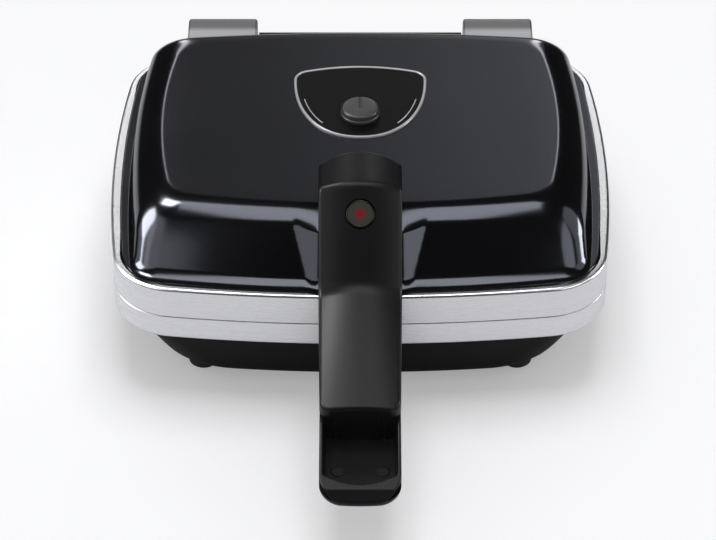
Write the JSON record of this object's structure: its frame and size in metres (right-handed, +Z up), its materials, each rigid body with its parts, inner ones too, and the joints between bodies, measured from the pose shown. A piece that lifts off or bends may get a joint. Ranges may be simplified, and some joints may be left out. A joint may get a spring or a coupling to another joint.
{
  "type": "sandwich and waffle maker",
  "caption": "Hinged countertop cooker with facing waffle plates, a domed black lid, steel bands, stacked front handles, a lamp, a thermostat knob and silver hinge arms.",
  "frame": {"origin": "bottom centre of the closed appliance, on the surface under its feet", "axes": "+Z up, the handle points to -Y, the hinge is at +Y, +X is to the right seen from the handle"},
  "size_m": [0.264, 0.357, 0.123],
  "materials": {
    "enamel_black": "gloss",
    "steel_brushed": "brushed",
    "plastic_black": "matte",
    "handle_plastic": "satin",
    "knob_plastic": "satin",
    "hinge_silver": "satin",
    "plate_coating": "satin",
    "steel_plain": "satin",
    "steel_zinc": "satin",
    "element_sheath": "matte",
    "rubber_foot": "matte",
    "lens_grey": "gloss",
    "lamp_glass": "clear",
    "chrome_trim": "polished",
    "badge_black": "gloss",
    "ceramic_white": "matte",
    "brass_plain": "satin",
    "lead_sleeve": "matte"
  },
  "bodies": {
    "base": {"base_tub": "plastic_black", "feet": "rubber_foot", "lower_band": "steel_brushed", "lower_deck": "steel_plain", "lower_deck_screws": "steel_zinc", "lower_plate": "plate_coating", "lower_plate_clips": "steel_zinc", "lower_element": "element_sheath", "lower_element_clips": "steel_zinc", "lower_reflector": "steel_plain", "lower_handle": "handle_plastic", "lower_handle_strap": "steel_zinc", "lower_handle_screws": "steel_zinc", "hinge_bracket_left": "hinge_silver", "hinge_bracket_right": "hinge_silver", "hinge_bracket_screws": "steel_zinc", "inlet_housing": "plastic_black", "inlet_blades": "brass_plain", "terminal_block": "ceramic_white", "lower_leads": "lead_sleeve"},
    "rod": {"hinge_rod": "steel_zinc", "hinge_rod_caps": "steel_zinc"},
    "lid": {"lid_cover": "enamel_black", "upper_band": "steel_brushed", "upper_frame": "plastic_black", "upper_deck": "steel_plain", "upper_deck_screws": "steel_zinc", "upper_plate": "plate_coating", "upper_plate_clips": "steel_zinc", "upper_element": "element_sheath", "upper_element_clips": "steel_zinc", "upper_reflector": "steel_plain", "upper_posts": "steel_zinc", "upper_handle": "handle_plastic", "upper_handle_screws": "steel_zinc", "lamp_lens": "lens_grey", "lamp": "lamp_glass", "badge_rim": "chrome_trim", "badge_plate": "badge_black", "thermostat_bracket": "steel_zinc", "thermostat_body": "steel_zinc", "thermal_fuse": "ceramic_white", "upper_leads": "lead_sleeve", "hinge_arm_left": "hinge_silver", "hinge_arm_right": "hinge_silver", "hinge_arm_screws": "steel_zinc", "rear_cover": "plastic_black"},
    "knob": {"thermostat_knob": "knob_plastic", "thermostat_shaft": "steel_zinc"}
  },
  "joints": [
    {"name": "hinge_float", "type": "slide", "parent": "base", "child": "rod", "axis": [0, 0, 1], "range_m": [0, 0.008]},
    {"name": "lid_hinge", "type": "hinge", "parent": "rod", "child": "lid", "pos_m": [0, 0.172, 0.057], "axis": [-1, 0, 0], "range_deg": [0, 100]},
    {"name": "thermostat_turn", "type": "hinge", "parent": "lid", "child": "knob", "pos_m": [0, 0.0625, 0.105], "axis": [0, 0, -1], "range_deg": [0, 270]}
  ]
}
